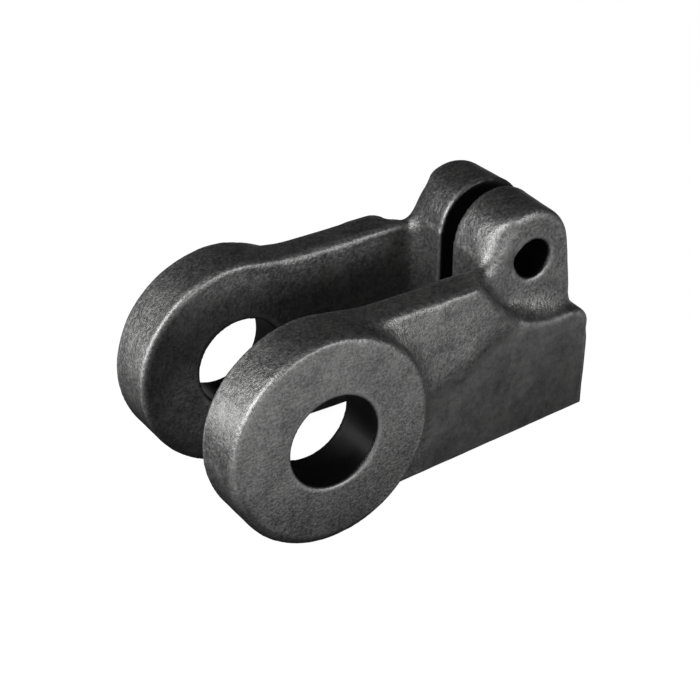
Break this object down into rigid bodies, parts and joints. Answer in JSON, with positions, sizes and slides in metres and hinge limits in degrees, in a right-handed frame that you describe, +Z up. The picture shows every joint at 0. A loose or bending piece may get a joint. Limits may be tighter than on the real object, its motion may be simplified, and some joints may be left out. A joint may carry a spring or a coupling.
{
  "type": "tension rod clevis",
  "caption": "Forged fork clevis: drilled eyes for a cross pin, a tapped rod socket behind the jaw, and split ears on top that a bolt draws together to lock the rod.",
  "frame": {"origin": "on the pin axis, midway between the arms", "axes": "+X along the rod axis from the pin to the rod end, +Y along the pin, +Z up to the clamp ears"},
  "size_m": [0.1192, 0.061, 0.071],
  "materials": {
    "forging": "dark as-forged scale with worn bright edges"
  },
  "bodies": {
    "root": {"clevis": "forging"}
  },
  "joints": []
}
